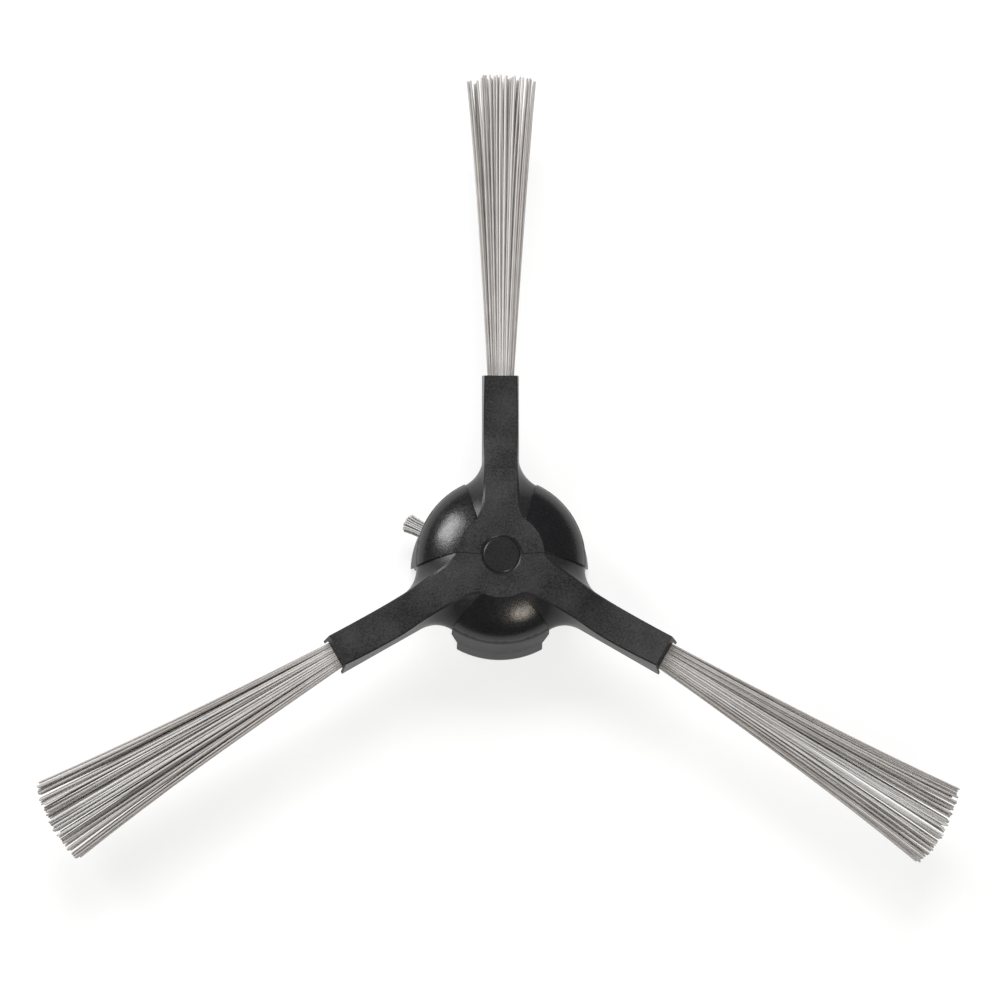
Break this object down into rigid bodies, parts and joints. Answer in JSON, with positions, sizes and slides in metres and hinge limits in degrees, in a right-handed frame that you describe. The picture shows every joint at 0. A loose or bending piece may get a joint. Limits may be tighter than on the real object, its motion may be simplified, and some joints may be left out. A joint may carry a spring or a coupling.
{
  "type": "robot vacuum side brush",
  "caption": "Side brush of a robot vacuum: a domed plastic hub with hooded arms, each holding a fan of nylon bristles, and a keyed socket below for the motor shaft.",
  "frame": {"origin": "on the spin axis at the mouth of the shaft bore, in the plane of the skirt's rim", "axes": "+Z along the spin axis from the open underside to the crown; +Y along the first arm"},
  "size_m": [0.1558, 0.1381, 0.0181],
  "materials": {
    "hub": "black moulded plastic: fine matte grain on the crown and arms, semi-gloss on the lobes",
    "socket": "black moulded plastic with a fine matte grain",
    "bristle": "grey nylon filament with a satin sheen"
  },
  "bodies": {
    "root": {"hub_body": "hub", "drive_socket": "socket", "bristle_tuft_1": "bristle", "bristle_tuft_2": "bristle", "bristle_tuft_3": "bristle", "short_tuft": "bristle"}
  },
  "joints": []
}
